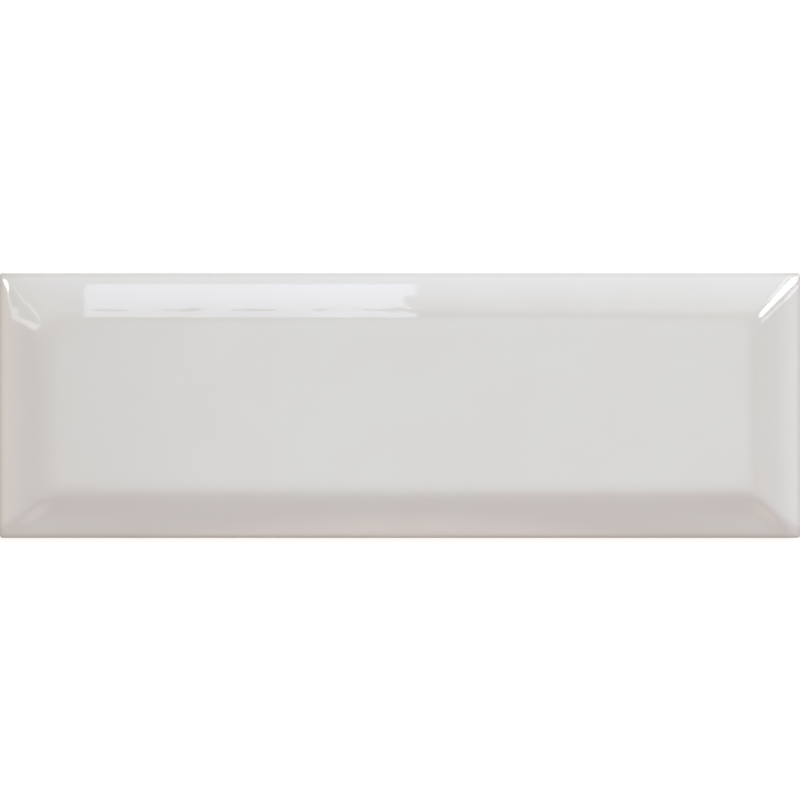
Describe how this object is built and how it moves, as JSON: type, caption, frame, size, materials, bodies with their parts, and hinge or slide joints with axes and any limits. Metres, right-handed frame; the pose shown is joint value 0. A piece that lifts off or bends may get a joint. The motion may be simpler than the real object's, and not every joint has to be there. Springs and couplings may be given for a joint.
{
  "type": "subway wall tile",
  "caption": "Long rectangular glazed wall tile with four wide soft bevels round a flat field, and a keyed back.",
  "frame": {"origin": "centre of the back, on a land of the keying", "axes": "+X along the length, +Y along the width, +Z out of the glazed face"},
  "size_m": [0.299, 0.099, 0.008],
  "materials": {
    "glaze": "glossy warm light grey glaze on the face, bare pressed ceramic on the back"
  },
  "bodies": {
    "root": {"tile": "glaze"}
  },
  "joints": []
}
